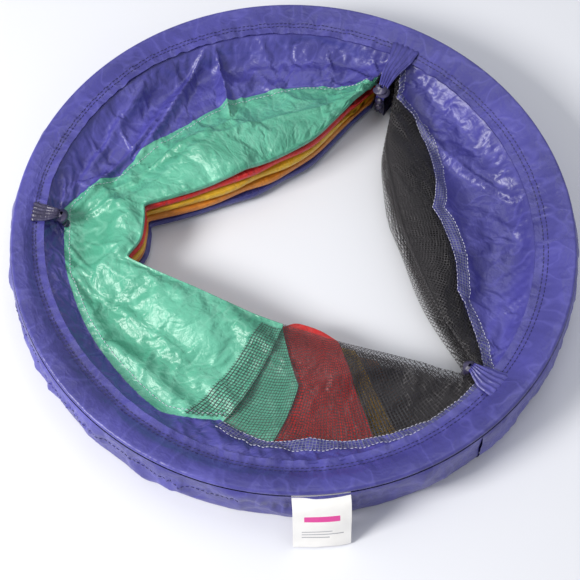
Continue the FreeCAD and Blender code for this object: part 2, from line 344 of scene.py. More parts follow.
# ---------------------------------------------------------------- rim sleeves
# Strips of glossy crinkled taffeta folded around each hoop and closed by one row of stitches, with a
# narrow hem left free inside the stitches. The sleeves lean in towards the bore where the cloth pulls.

RING_BODIES = ["floor_ring", "ring_2", "ring_3", "ring_4", "ring_5", "top_ring"]
SEAM_RADIUS, HEM_RADIUS, WIRE_RADIUS, BULGE = 0.213, 0.206, 0.2375, 0.0025
COLUMNS = 720


def ring_level(hoop):
    return 0.0025 + 0.009 * (hoop - 1)


def creases(across, along, pitch, seed, turns=9):
    """Sharp small folds such as crushed taffeta keeps, from -1 to 1, over lengths in metres."""
    chance = np.random.default_rng(seed)
    total = np.zeros(np.broadcast(across, along).shape)
    weight = 0.0
    for _ in range(turns):
        way = chance.uniform(0, math.pi)
        wave = pitch * chance.uniform(0.55, 1.9)
        bent = 0.9 * np.sin((across * math.sin(way * 2.3 + 1) + along * math.cos(way * 1.7)) / wave * 1.9
                            + chance.uniform(0, 6))
        phase = (across * math.cos(way) + along * math.sin(way)) / wave * math.pi + bent + chance.uniform(0, 6)
        total += (1 - 2 * np.abs(np.sin(phase))) * wave
        weight += wave
    return total / weight * 1.8


def settled(x, y, z):
    """Where a point of the neatly folded tunnel comes to lie once the cloth has sunk into the bore, and
    has been drawn out under the hoop beside the left tie."""
    away = np.hypot(x, y)
    turn = np.degrees(np.arctan2(y, x)) % 360
    dip = np.interp(turn, [0, 40, 90, 130, 165, 185, 215, 250, 275, 300, 330, 360],
                    [0.17, 0.12, -0.02, -0.13, 0.02, 0.12, 0.14, 0.27, 0.30, 0.26, 0.20, 0.17])
    inward = np.clip((0.2325 - away) / 0.022, 0, 1)
    sunk = inward * inward * (3 - 2 * inward)
    drawn_out = np.interp(turn, [0, 120, 150, 170, 195, 225, 360], [0, 0, 0.5, 1, 0.7, 0, 0])
    stretch = 1 + 0.009 * drawn_out * sunk * np.clip((away - 0.150) / 0.058, 0, 1) / away
    return x * stretch, y * stretch, z * (1 - sunk * dip)


def grid_faces(rows, columns, around=False):
    """Corner numbers of a grid's faces; around closes the grid on itself."""
    corner = np.arange(rows * columns).reshape(rows, columns)
    if around:
        corner = np.concatenate([corner, corner[:, :1]], 1)
    return np.stack([corner[:-1, :-1], corner[:-1, 1:], corner[1:, 1:], corner[1:, :-1]], -1).reshape(-1, 4).tolist()


def lay_cloth(name, points, cloth, finish, keep_normals=None, around=False):
    """A mesh of cloth from a grid of points, with its place on the flat cloth kept in metres."""
    rows, columns = points.shape[:2]
    mesh = bpy.data.meshes.new(name)
    mesh.from_pydata(points.reshape(-1, 3), [], grid_faces(rows, columns, around))
    mesh.polygons.foreach_set("use_smooth", np.ones(len(mesh.polygons), bool))
    place = mesh.attributes.new("cloth", "FLOAT_VECTOR", "POINT")
    flat = np.concatenate([cloth, np.zeros((rows, columns, 1))], 2)
    place.data.foreach_set("vector", flat.astype(np.float32).ravel())
    if keep_normals is not None:
        mesh.normals_split_custom_set_from_vertices(keep_normals.reshape(-1, 3).tolist())
    mesh.materials.append(finish)
    piece = bpy.data.objects.new(name, mesh)
    bpy.context.scene.collection.objects.link(piece)
    return piece


def taffeta(name, shade, colour, light, seed, crush=1.0):
    """Glossy crinkled taffeta: a fine plain weave, sharp crush marks, a painted highlight of the light tone along the
    crush creases, and a soft sheen.
    """
    finish, start = new_finish(name)
    at = start.node("ShaderNodeAttribute", {"attribute_name": "cloth"}, output=1)
    moved = start.node("ShaderNodeVectorMath", {"operation": "ADD"}, {0: at, 1: (seed * 0.37, seed * 0.21, 0)})
    ridges = []
    for scale, stretch in ((21.0, 1.7), (52.0, 0.6), (120.0, 1.3), (290.0, 0.9)):
        pulled = start.node("ShaderNodeVectorMath", {"operation": "MULTIPLY"}, {0: moved, 1: (1, stretch, 1)})
        swirl = start.node("ShaderNodeTexNoise", {}, {"Vector": pulled, "Scale": scale, "Detail": 1.5,
                                                      "Roughness": 0.4, "Distortion": 0.35})
        ridges.append(start.maths("ABSOLUTE", swirl - 0.5))
    drift = start.node("ShaderNodeTexNoise", {}, {"Vector": moved, "Scale": 13.0, "Detail": 5.0})
    warp_yarn = start.node("ShaderNodeTexWave", {"bands_direction": "X"}, {"Vector": at, "Scale": 420.0})
    weft_yarn = start.node("ShaderNodeTexWave", {"bands_direction": "Y"}, {"Vector": at, "Scale": 420.0})
    crush_marks = ridges[0] * 2.6 + ridges[1] * 1.5 + ridges[2] * 0.7 + ridges[3] * 0.25
    crushed = start.node("ShaderNodeBump", {}, {"Strength": min(1.0, 0.44 * crush), "Distance": 0.0046,
                                                "Height": crush_marks})
    woven = start.node("ShaderNodeBump", {}, {"Strength": 0.08, "Distance": 0.0002,
                                              "Height": warp_yarn * weft_yarn, "Normal": crushed})
    body = start.node("ShaderNodeClamp", {}, {0: (drift - 0.32) * 2.4})
    # painted highlight: along the crease lines of the middle crush marks the colour goes up to 22 % of the way to the
    # light tone
    creased = start.node("ShaderNodeClamp", {}, {0: 0.22 - ridges[1] * 5.0})
    tint = creased.tinted(body.tinted(shade, colour), light)
    shader = start.node("ShaderNodeBsdfPrincipled", {}, {
        "Base Color": tint, "Roughness": 0.30 + drift * 0.2, "Specular IOR Level": 0.6,
        "Sheen Weight": 0.08, "Sheen Roughness": 0.3, "Sheen Tint": (*light, 1), "Normal": woven})
    start.node("ShaderNodeOutputMaterial", {}, {"Surface": shader})
    return finish


sleeve_cloth = taffeta("sleeve_cloth", (0.042, 0.039, 0.20), (0.080, 0.073, 0.37), (0.16, 0.15, 0.56), 0, 0.62)

turn = np.radians(np.arange(COLUMNS) * 360 / COLUMNS)
for hoop in range(1, HOOPS + 1):
    level = ring_level(hoop)
    top = hoop == HOOPS
    arc = np.radians(np.linspace(112, -112, 13))
    outline = [(HEM_RADIUS, 0.0008), (0.2095, 0.0009), (SEAM_RADIUS, 0.0007), (0.2165, 0.0016), (0.222, 0.0023),
               (0.229, 0.0026)]
    outline += [(WIRE_RADIUS + BULGE * math.cos(a), BULGE * 1.02 * math.sin(a)) for a in arc]
    outline += [(0.229, -0.0026), (0.222, -0.0023), (0.2165, -0.0016), (SEAM_RADIUS, -0.0007),
                (0.2095, -0.0009), (HEM_RADIUS, -0.0008)]
    outline = np.array(outline)
    if hoop == 1:
        outline[:, 1] = np.maximum(outline[:, 1], -0.0023)
    away = outline[:, 0][:, None] + np.zeros(COLUMNS)
    high = level + outline[:, 1][:, None] + np.zeros(COLUMNS)
    along = turn * SEAM_RADIUS
    pucker = creases(along[None, :] * 2.2, away * 0.35, 0.008, 40 + hoop)
    crumple = creases(along[None, :], away, 0.014, 60 + hoop)
    pinched = np.exp(-((away - 0.217) / 0.007) ** 2)
    loose = np.clip((0.2365 - away) / 0.01, 0, 1)
    lift = (pucker * 0.0011 * pinched + crumple * 0.0007 * loose) * (1.0 if top else 0.45)
    hem_wave = np.clip((SEAM_RADIUS - away) / 0.007, 0, 1)
    ruffle = 0.0012 + 0.0022 * np.exp(-((np.degrees(turn) - 268) / 22) ** 2)
    frill = creases(along[None, :] * 1.0, away * 0.2, 0.010, 80 + hoop) * ruffle * hem_wave * (1.0 if top else 0.3)
    upper_side = outline[:, 1][:, None] >= 0
    high = high + np.where(upper_side, lift, lift * 0.4) + frill
    if hoop == 1:
        high = np.maximum(high, 0.0003)
    x, y, z = settled(away * np.cos(turn), away * np.sin(turn), high)
    points = np.stack([x, y, z], -1)
    across = np.concatenate([[0], np.cumsum(np.hypot(*np.diff(outline, axis=0).T))])
    cloth = np.stack([along[None, :] + 0 * away, across[:, None] + 0 * away], -1)
    rim_points = points
    rim = lay_cloth(f"sleeve_{hoop}", points, cloth, sleeve_cloth, around=True)
    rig.ride(rim, RING_BODIES[hoop - 1])
    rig.replaces(rim, f"rim_sleeve_{hoop}")
    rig.slot(rim, "sleeve_cloth")
    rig.sheet(rim, flat=(float(across[-1]), 2 * math.pi * 0.226), held="stretched", rests_on=[f"wire_hoop_{hoop}"])


# ---------------------------------------------------------------- section walls
# The thin wall of each section hangs between two hoops. Folded, it bunches up outside the hoops: the
# floor section's blue cloth stands up around the whole stack, and the others lie behind the sleeves.

SECTIONS = ("blue", "amber", "yellow", "red", "green")
OPEN_TRAVEL = 0.291
CLEAR_OF_HOOPS = 0.2404    # least radius of the wall that stands up outside the stack
SECOND_ROW = 0.62          # height share of the dark stitches that gather that wall at the front
WINDOW = {"blue": -50, "amber": -56, "yellow": -62, "red": -68, "green": -111}     # azimuth where the net begins
WINDOW_END = 67

CLOTH = {
    # painted shade: the blue section's folded panel is a darker copy of the sleeves' blue cloth, for blue cloth lying
    # in shade under the other leaves
    "blue": taffeta("blue_cloth", (0.03, 0.032, 0.17), (0.055, 0.058, 0.26), (0.10, 0.11, 0.40), 3),
    "amber": taffeta("amber_cloth", (0.52, 0.16, 0.012), (0.68, 0.25, 0.02), (0.80, 0.38, 0.06), 5),
    "yellow": taffeta("yellow_cloth", (0.62, 0.33, 0.01), (0.82, 0.52, 0.02), (0.92, 0.68, 0.10), 7),
    "red": taffeta("red_cloth", (0.50, 0.012, 0.012), (0.72, 0.02, 0.02), (0.85, 0.08, 0.06), 9),
    "green": taffeta("green_cloth", (0.065, 0.31, 0.20), (0.125, 0.47, 0.32), (0.30, 0.70, 0.52), 11, 0.95),
}


def knitted_net(name, yarn, glint, pitch):
    """Dark knitted net: square meshes between round yarns, open where the yarns leave a hole."""
    finish, start = new_finish(name)
    at = start.node("ShaderNodeAttribute", {"attribute_name": "cloth"}, output=1)
    crossing = []
    for side in (0, 1):
        share = start.node("ShaderNodeSeparateXYZ", {}, {0: at}, output=side) * (1 / pitch)
        crossing.append(start.maths("ABSOLUTE", start.maths("FRACT", share) - 0.5))
    strand = start.maths("MAXIMUM", crossing[0], crossing[1])
    yarn_here = start.maths("GREATER_THAN", strand, 0.41)
    fuzz = start.node("ShaderNodeTexNoise", {}, {"Vector": at, "Scale": 900.0, "Detail": 2.0})
    rib = start.node("ShaderNodeBump", {}, {"Strength": 0.5, "Distance": 0.0004,
                                            "Height": strand * 2.0 + fuzz * 0.3})
    shader = start.node("ShaderNodeBsdfPrincipled", {}, {
        "Base Color": fuzz.tinted(yarn, glint), "Roughness": 0.42 + fuzz * 0.2, "Sheen Weight": 0.2,
        "Alpha": yarn_here, "Normal": rib})
    start.node("ShaderNodeOutputMaterial", {}, {"Surface": shader})
    return finish


window_net = knitted_net("window_net", (0.012, 0.010, 0.012), (0.05, 0.045, 0.05), 0.0026)

for number, section in enumerate(SECTIONS, start=1):
    outermost = section == "blue"
    low = 0.0016 if outermost else ring_level(number)
    high = 0.0458 if outermost else ring_level(number + 1)
    rise = np.linspace(0, 1, 26 if outermost else 9)[:, None]
    halves = {"wall": (WINDOW_END, WINDOW[section] + 360), "net_wall": (WINDOW[section], WINDOW_END)}
    for part, (first, last) in halves.items():
        finish = sleeve_cloth if outermost else CLOTH[section] if part == "wall" else window_net
        count = int(abs(last - first) * 2)
        round_it = np.radians(np.linspace(first, last, count))[None, :]
        along = round_it * 0.24
        if outermost:
            gather = creases(along * 1.4, rise * 0.004, 0.016, 200)
            facet = creases(along, rise * 0.05, 0.048, 201)
            billow = np.sin(np.pi * np.clip(rise, 0, 1)) ** 0.6
            front = 0.5 + 0.5 * np.exp(-((np.degrees(round_it) % 360 - 235) / 45) ** 2)
            tucked = creases(along * 2.4, rise * 0.002, 0.007, 202) * np.exp(-((rise - SECOND_ROW) / 0.13) ** 2)
            swell = 0.0052 + gather * 0.0009 + facet * 0.0050 * front + tucked * 0.0026 * front
            away = CLEAR_OF_HOOPS + billow * np.maximum(swell, 0.0002)
        else:
            away = 0.2390 + 0.0002 * creases(along * 1.2, rise * 0.002, 0.012, 210 + number)
        z = low + rise * (high - low) + 0 * round_it
        points = np.stack([away * np.cos(round_it) + 0 * z, away * np.sin(round_it) + 0 * z, z], -1)
        grown = (high - low + OPEN_TRAVEL) if part == "net_wall" and not outermost else (high - low)
        cloth = np.stack([along + 0 * z, rise * grown + 0 * along], -1)
        wall = lay_cloth(f"{section}_{part}", points, cloth, finish)
        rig.blend(wall, RING_BODIES[number - 1], RING_BODIES[number], start=(0, 0, low), end=(0, 0, high))
        own_slot = "net" if part == "net_wall" else f"{section}_cloth"
        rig.slot(wall, "sleeve_cloth" if outermost else own_slot)
        tall, long = high - low, float(np.ptp(along))
        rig.sheet(wall, flat=(max(tall, 0.01), long), area=tall * long, held="gathered",
                 rests_on=[f"wire_hoop_{number}", f"wire_hoop_{number + 1}"])


# ---------------------------------------------------------------- folded panels, net windows and cuffs
# Inside the hoops each section's cloth lies in one deep fold that the ties hold: from the upper
# sleeve in to the opening and back out to the lower sleeve. Blue cuffs are sewn to the end sections.

TIE_SPOTS = {"left": (179, 0.199), "far": (64, 0.166), "right": (-39, 0.189)}
OPENING = {"near": (0.269, 0.785, 0.916), "far": (-0.249, 0.427, 0.425), "right": (0.636, 0.167, 0.564)}
CUFF_DEPTH = [(-180, 47), (-159, 49), (-140, 48), (-123, 45), (-112, 63), (-97, 53), (-86, 57), (-57, 41), (-44, 19),
              (-37, 40), (-19, 93), (14, 118), (52, 75), (70, 70), (105, 85), (131, 90), (160, 75), (175, 45), (180, 47)]


def wrapped_from(azimuth, middle):
    return (azimuth - middle + 180) % 360 - 180


def opening_radius(azimuth):
    """How far out the edge of the three-sided opening lies, at azimuths in degrees."""
    ux, uy = np.cos(np.radians(azimuth)), np.sin(np.radians(azimuth))
    reach = []
    for side, (cx, cy, size) in OPENING.items():
        along = ux * cx + uy * cy
        under = along ** 2 - (cx ** 2 + cy ** 2 - size ** 2)
        root = np.sqrt(np.maximum(under, 0))
        hit = along + root if side == "near" else np.where((under > 0) & (along > 0), along - root, 0.4)
        reach.append(np.clip(hit, 0.02, 0.4))
    reach.append(0.131 + 0.3 * (np.abs(wrapped_from(azimuth, 180)) / 34) ** 3)
    reach.append(np.full_like(ux, 0.194))
    soft = -0.003 * np.log(np.sum(np.exp(-np.array(reach) / 0.003), 0))
    drawn = 0.034 * np.exp(-((wrapped_from(azimuth, 65)) / 9) ** 2) \
        + 0.010 * np.exp(-((wrapped_from(azimuth, -39)) / 7) ** 2)
    return np.minimum(soft + drawn, 0.196)


def gathers(x, y):
    """Folds that fan out from the three ties, in metres of height."""
    total = np.zeros_like(x)
    for n, (azimuth, away) in enumerate(TIE_SPOTS.values()):
        tx, ty = away * math.cos(math.radians(azimuth)), away * math.sin(math.radians(azimuth))
        far = np.hypot(x - tx, y - ty)
        way = np.arctan2(y - ty, x - tx)
        fan = 1 - 2 * np.abs(np.sin(way * 6.5 + 0.8 * np.sin(far * 60 + n) + n * 1.3))
        fine = 1 - 2 * np.abs(np.sin(way * 15 + 1.1 * np.sin(far * 90 + n * 2)))
        total += (fan * 0.0042 + fine * 0.0014) * np.exp(-far / 0.055) * np.clip(far / 0.012, 0, 1)
    return total


LONG_FOLDS = [      # where a long fold runs on the cloth seen from above, its half width and its height
    ([(-0.088, 0.186), (-0.113, 0.132), (-0.143, 0.070)], 0.0050, 0.0095),
    ([(-0.080, 0.186), (-0.070, 0.154), (-0.064, 0.122)], 0.0042, 0.0080),
    ([(-0.140, 0.140), (-0.168, 0.085), (-0.194, 0.022)], 0.0055, 0.0085),
    ([(-0.100, 0.160), (-0.145, 0.085), (-0.188, 0.014)], 0.0050, 0.0070),
    ([(0.093, 0.142), (0.124, 0.102), (0.151, 0.079), (0.191, 0.049)], 0.0050, 0.0075),
    ([(0.090, 0.120), (0.128, 0.050), (0.150, -0.030)], 0.0085, 0.0050),
    ([(-0.200, -0.020), (-0.165, -0.060), (-0.095, -0.110)], 0.0070, 0.0060),
    ([(-0.195, -0.030), (-0.150, -0.105), (-0.080, -0.160)], 0.0060, 0.0055),
    ([(0.150, -0.118), (0.070, -0.160), (-0.020, -0.190)], 0.0070, 0.0060),
    ([(0.150, -0.112), (0.080, -0.125), (0.000, -0.140)], 0.0050, 0.0045),
    ([(-0.190, 0.010), (-0.130, 0.060), (-0.060, 0.105)], 0.0055, 0.0055),
    ([(-0.150, 0.020), (-0.090, 0.070), (-0.010, 0.118)], 0.0045, 0.0045),
]


def drawn_folds(x, y):
    """Height of the long folds that run between the ties and the rim."""
    total = np.zeros_like(x)
    for path, half_width, height in LONG_FOLDS:
        nearest = np.full(x.shape, 1.0)
        for (ax, ay), (bx, by) in zip(path[:-1], path[1:]):
            length = (bx - ax) ** 2 + (by - ay) ** 2
            share = np.clip(((x - ax) * (bx - ax) + (y - ay) * (by - ay)) / length, 0, 1)
            nearest = np.minimum(nearest, np.hypot(x - ax - share * (bx - ax), y - ay - share * (by - ay)))
        total = np.maximum(total, height * np.exp(-np.abs(nearest / half_width) ** 1.15))
    return total


def cut_size(grid):
    """Greatest width and length of a leaf as it was cut, and its area, in metres."""
    over = np.diff(grid, axis=1)
    down = np.diff(grid, axis=0)
    wide = float(np.linalg.norm(over, axis=2).sum(1).max())
    long = float(np.linalg.norm(down, axis=2).sum(0).max())
    quads = np.cross(grid[1:, 1:] - grid[:-1, :-1], grid[1:, :-1] - grid[:-1, 1:])
    area = float(np.linalg.norm(quads, axis=2).sum() / 2)
    return wide, long, area


def grid_normals(points):
    """Smooth normals of a grid that runs round and closes."""
    along = np.roll(points, -1, 1) - np.roll(points, 1, 1)
    across = np.gradient(points, axis=0)
    normal = np.cross(along, across)
    return normal / np.maximum(np.linalg.norm(normal, axis=2, keepdims=True), 1e-12)


def buckled(points, pinned, seed):
    """The leaf once its spare cloth has buckled into crisp wrinkles between the seams that hold it."""
    rows, columns = points.shape[:2]
    mesh = bpy.data.meshes.new("buckling_leaf")
    mesh.from_pydata(points.reshape(-1, 3), [], grid_faces(rows, columns, around=True))
    leaf = bpy.data.objects.new("buckling_leaf", mesh)
    bpy.context.scene.collection.objects.link(leaf)
    held = leaf.vertex_groups.new(name="held")
    for weight in (1.0, 0.5):
        chosen = np.flatnonzero(np.isclose(pinned.ravel(), weight))
        if len(chosen):
            held.add(chosen.tolist(), weight, "REPLACE")
    sewn = leaf.modifiers.new("Cloth", "CLOTH")
    sewn.settings.quality = 6
    sewn.settings.mass = 0.08
    sewn.settings.tension_stiffness = 18
    sewn.settings.compression_stiffness = 18
    sewn.settings.shear_stiffness = 8
    sewn.settings.bending_stiffness = 0.12
    sewn.settings.air_damping = 3
    sewn.settings.shrink_min = -0.035
    sewn.settings.vertex_group_mass = "held"
    sewn.settings.effector_weights.gravity = 0
    sewn.collision_settings.use_collision = False
    sewn.point_cache.frame_start, sewn.point_cache.frame_end = 1, 22
    for step in range(1, 23):
        bpy.context.scene.frame_set(step)
    creased = leaf.evaluated_get(bpy.context.evaluated_depsgraph_get())
    moved = np.zeros(rows * columns * 3)
    creased.data.vertices.foreach_get("co", moved)
    bpy.data.objects.remove(leaf)
    bpy.context.scene.frame_set(1)
    shift = moved.reshape(rows, columns, 3) - points
    far = np.linalg.norm(shift, axis=2, keepdims=True)
    shift = shift * np.minimum(1, 0.007 / np.maximum(far, 1e-9))
    shift[..., 2] = np.maximum(shift[..., 2], -0.0022)
    return points + shift


HANG = math.radians(14)      # how far from upright the cloth hangs once its section is drawn open


def against_hoop(turn, level):
    """How a leaf flattens as its section opens: out to the hoop and down into its own section."""
    hem = settled(0.2105 * math.cos(turn), 0.2105 * math.sin(turn), level - 0.001)
    return {"axis": (math.cos(turn) * math.cos(HANG), math.sin(turn) * math.cos(HANG), -math.sin(HANG)),
            "anchor": tuple(float(c) for c in hem), "keep": 0.03}


CUFF_ROWS, PANEL_ROWS, BEND_ROWS, BACK_ROWS, BACK_SEAM = 22, 30, 8, 34, 20
LAYER_GAP = 0.0011
ceiling = np.full((360, 84), 0.06)       # underside of what lies above, by degree and by 2.5 mm of radius


def cell_of(x, y):
    turn = np.degrees(np.arctan2(y, x)).astype(int) % 360
    return turn, np.clip((np.hypot(x, y) / 0.0025).astype(int), 0, 83)


def lower_ceiling(points):
    """Brings the ceiling down to the underside of a leaf that now lies in place."""
    turn, ring = cell_of(points[..., 0], points[..., 1])
    for side in range(-2, 3):
        for inward in (-2, -1, 0, 1, 2):
            np.minimum.at(ceiling, ((turn + side) % 360, np.clip(ring + inward, 0, 83)), points[..., 2])


def under_ceiling(points, gap):
    """The points, lowered wherever they would stand through the leaf above."""
    turn, ring = cell_of(points[..., 0], points[..., 1])
    lowered = points.copy()
    lowered[..., 2] = np.minimum(points[..., 2], ceiling[turn, ring] - gap)
    return lowered


def sector(around, first, last):
    """The columns of one sector of a leaf, and the azimuth of its middle in radians."""
    columns = len(around)
    return np.arange(first, last + 1) % columns, math.radians(around[first] + (last - first) / 2 * 360 / columns)


for number, section in reversed(list(enumerate(SECTIONS, start=1))):
    is_top = number == HOOPS - 1
    is_low = number == 1
    columns = 720 if is_top else 480
    around = WINDOW[section] + np.arange(columns) * 360 / columns        # a column starts at the window's seam
    wave = (around + 180) % 360 - 180
    lean_in = 17 * np.exp(-((wave + 108) / 26) ** 2) if is_top else np.zeros(columns)
    edge = opening_radius(wave + lean_in) + (0 if is_top else (0.0008 - 0.0007 * (5 - number))) \
        + 0.0012 * np.sin(np.radians(wave) * 7 + number * 2) * (0.3 if is_top else 1)
    if section == "red":                                       # its bright edge shows beyond the green and the net
        edge = edge - 0.008 * np.exp(-((wave + 80) / 12) ** 4)
    cuff_depth = np.interp(wave, *np.array(CUFF_DEPTH, float).T) / 1000
    seam = np.maximum(0.240 - cuff_depth, edge + 0.006)
    seam = np.minimum(seam, 0.2015)
    level = ring_level(number + 1)
    upper, lower = level - 0.0010, ring_level(number) + 0.0018
    start_radius = 0.2085
    cuff_share = np.linspace(0, 1, CUFF_ROWS)[:, None]
    panel_share = np.linspace(0, 1, PANEL_ROWS)[1:, None]
    cuff_away = start_radius + (seam - start_radius) * cuff_share
    panel_away = seam + (edge - seam) * panel_share
    bend_turn = np.linspace(0, math.pi, BEND_ROWS + 1)[1:-1, None]
    half = (upper - lower) / 2
    bend_away = edge - np.sin(bend_turn) * min(half, 0.0024)
    back_share = np.linspace(0, 1, BACK_ROWS)[:, None]
    inner_share, outer_share = (np.linspace(0, 1, count)[:, None]
                                for count in (BACK_SEAM + 1, BACK_ROWS - BACK_SEAM))
    back_away = np.concatenate([edge + (seam - edge) * inner_share, seam + (start_radius - seam) * outer_share[1:]])
    away = np.concatenate([cuff_away, panel_away, bend_away, back_away])
    high = np.concatenate([
        np.full_like(cuff_away, upper), np.full_like(panel_away, upper),
        lower + half + np.cos(bend_turn) * half + 0 * bend_away, np.full_like(back_away, lower)])
    turned = np.clip((start_radius - away) / np.maximum(start_radius - edge, 0.004), 0, 1)
    underfold = 15 * np.exp(-((wave + 108) / 20) ** 2) if is_top else np.zeros(columns)
    behind = np.concatenate([np.zeros((len(away) - BACK_ROWS, 1)), np.clip(back_share * 3, 0, 1)])
    way = np.radians(wave + lean_in * turned + underfold * behind)
    x, y = away * np.cos(way), away * np.sin(way)

    neat = np.stack([x, y, high + 0 * x], -1)          # the leaves as cut and folded, before they crumple
    run = start_radius - edge
    deep = np.clip(run / 0.10, 0, 1)
    sink = np.sin(np.pi * np.clip(turned / 0.72, 0, 1)) ** 1.2
    crest = np.exp(-((turned - 0.86) / 0.16) ** 2)
    seam_groove = np.exp(-((away - seam) / 0.0035) ** 2)
    behind_hem = np.exp(-((turned - 0.15) / 0.085) ** 2) * deep
    shaped = high * (1 - 0.36 * sink * deep + 0.15 * crest * deep - (0.13 * behind_hem if is_top else 0))
    top_rows = np.arange(len(away)) < CUFF_ROWS + PANEL_ROWS - 1
    strength = 1.0 if is_top else 0.16
    held_edge = np.clip(turned * 9, 0, 1)
    rumple = creases(x, y, 0.052, 300 + number) * 0.0060 + creases(x, y, 0.016, 330 + number) * 0.0011
    cuff_room = np.clip((start_radius - seam) / 0.045, 0.2, 1)
    roomy = cuff_room + (1 - cuff_room) * np.clip((seam - away) / 0.02, 0, 1)
    fold = (gathers(x, y) + drawn_folds(x, y) + rumple * (0.4 + 0.6 * deep)) * held_edge * roomy
    fold = np.maximum(fold, -0.0030) * strength
    shaped = shaped + np.where(top_rows[:, None], fold, fold * 0.22) \
        - seam_groove * 0.0012 * strength * top_rows[:, None]
    x, y, z = settled(x, y, np.maximum(shaped, 0.0012))
    points = np.stack([x, y, z], -1)
    upper_rows = CUFF_ROWS + PANEL_ROWS - 1
    back_seam_row = len(points) - BACK_ROWS + BACK_SEAM
    if not is_top:
        points = under_ceiling(points, LAYER_GAP)
    if is_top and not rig.quick():
        pinned = np.zeros((upper_rows, columns))
        pinned[:2] = 1.0
        pinned[-1] = 1.0
        pinned[CUFF_ROWS - 1] = 0.5
        short = run < 0.035
        pinned[:, short] = 1.0
        points[:upper_rows] = buckled(points[:upper_rows], pinned, 5)
    points[..., 2] = np.minimum(points[..., 2], 0.0595)
    lower_ceiling(points[:upper_rows])
    inside = away[upper_rows:] > edge + 0.004
    returning = points[upper_rows:]
    points[upper_rows:] = np.where(inside[..., None], under_ceiling(returning, LAYER_GAP), returning)
    lower_ceiling(points[upper_rows:])
    points[..., 2] = np.maximum(points[..., 2], 0.0008 + 0.0007 * number)
    normals = grid_normals(points)
    step = np.linalg.norm(np.diff(points, axis=0), axis=2)
    across = np.concatenate([np.zeros((1, columns)), np.cumsum(step, 0)])
    cloth = np.stack([np.radians(around)[None, :] * 0.16 + 0 * across, across], -1)

    joint = f"{section}_section_slide"
    body = RING_BODIES[number]
    if is_top:
        top_leaf = points, normals, neat, cloth, across, around, columns
    window_columns = int(round((WINDOW_END - WINDOW[section]) / 360 * columns))
    spans = [("net_window", np.linspace(0, window_columns, 6).astype(int)),
             ("panel", np.linspace(window_columns, columns, 8).astype(int))]
    if is_top:
        top_spans = spans
    for part, stops in spans:
        for piece_number, (first, last) in enumerate(zip(stops[:-1], stops[1:]), start=1):
            chosen, middle = sector(around, first, last)
            bands = {part: (CUFF_ROWS - 1 if is_top else 0, back_seam_row + 1 if is_low else len(points))}
            if is_top:
                bands["entry_cuff"] = (0, CUFF_ROWS)
            if is_low:
                bands["exit_cuff"] = (back_seam_row, len(points))
            for band, (low_row, high_row) in bands.items():
                rows = slice(low_row, high_row)
                if band in ("entry_cuff", "exit_cuff"):
                    finish, slot, stands_for = sleeve_cloth, "sleeve_cloth", band
                    name = f"{band}_{'w' if part == 'net_window' else 'p'}{piece_number}"
                else:
                    finish = window_net if part == "net_window" else CLOTH[section]
                    slot = "net" if part == "net_window" else f"{section}_cloth"
                    stands_for = f"{section}_{part}"
                    name = f"{section}_{part}_{piece_number}"
                flat_cloth = cloth[rows][:, chosen]
                if last == columns:
                    flat_cloth[:, -1, 0] += 2 * math.pi * 0.16
                leaf = lay_cloth(name, points[rows][:, chosen], flat_cloth, finish, normals[rows][:, chosen])
                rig.ride(leaf, body)
                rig.squash(leaf, joint, **against_hoop(middle, level))
                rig.replaces(leaf, stands_for)
                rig.slot(leaf, slot)
                wide, long, area = cut_size(neat[rows][:, chosen])
                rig.sheet(leaf, flat=(wide, long), area=area, held="folded", rests_on=[f"rim_sleeve_{number}"])


# ---------------------------------------------------------------- seams of the top section
# Twin rows of pale thread hold the cuff to the window, over a strip of the net's own edge; another
# strip of net is turned in over the green cloth, and dark stitches run round the top sleeve.


def thread_finish(name, dark, light):
    finish, start = new_finish(name)
    at = start.node("ShaderNodeTexCoord", output=3)
    twist = start.node("ShaderNodeTexNoise", {}, {"Vector": at, "Scale": 1500.0, "Detail": 2.0})
    relief = start.node("ShaderNodeBump", {}, {"Strength": 0.3, "Distance": 0.0001, "Height": twist})
    shader = start.node("ShaderNodeBsdfPrincipled", {}, {
        "Base Color": twist.tinted(dark, light), "Roughness": twist * 0.2 + 0.45, "Normal": relief})
    start.node("ShaderNodeOutputMaterial", {}, {"Surface": shader})
    return finish


pale_thread = thread_finish("pale_thread", (0.42, 0.42, 0.55), (0.78, 0.78, 0.88))
dark_thread = thread_finish("dark_thread", (0.012, 0.010, 0.05), (0.05, 0.045, 0.15))
strip_net = knitted_net("strip_net", (0.05, 0.05, 0.09), (0.30, 0.32, 0.46), 0.0026)


def stitches(name, line, normal, finish, pitch=0.0036, length=0.0024, thick=0.00028):
    """A row of separate stitches that lie along a line of points on the cloth."""
    step = np.linalg.norm(np.diff(line, axis=0), axis=1)
    along = np.concatenate([[0], np.cumsum(step)])
    starts = np.arange(pitch * 0.3, along[-1] - length, pitch)
    where = lambda at: np.stack([np.interp(at, along, line[:, n]) for n in range(3)], -1)
    facing = lambda at: np.stack([np.interp(at, along, normal[:, n]) for n in range(3)], -1)
    verts, faces = [], []
    ring = np.linspace(0, 2 * math.pi, 6, endpoint=False)
    for begin in starts:
        at = begin + length * np.array([0.0, 0.18, 0.5, 0.82, 1.0])
        middle, up = where(at), facing(at)
        way = middle[-1] - middle[0]
        way /= max(np.linalg.norm(way), 1e-9)
        beside = np.cross(way, up)
        girth = thick * np.array([0.25, 0.9, 1.0, 0.9, 0.25])
        base = len(verts)
        for m, u, b, g in zip(middle, up, beside, girth):
            for r in ring:
                verts.append(m + u * (g * math.sin(r) + thick * 0.5) + b * g * math.cos(r))
        for k in range(4):
            for r in range(6):
                a0, a1 = base + k * 6 + r, base + k * 6 + (r + 1) % 6
                faces.append((a0, a1, a1 + 6, a0 + 6))
    mesh = bpy.data.meshes.new(name)
    mesh.from_pydata([tuple(v) for v in verts], [], faces)
    mesh.polygons.foreach_set("use_smooth", np.ones(len(mesh.polygons), bool))
    mesh.materials.append(finish)
    row = bpy.data.objects.new(name, mesh)
    bpy.context.scene.collection.objects.link(row)
    return row


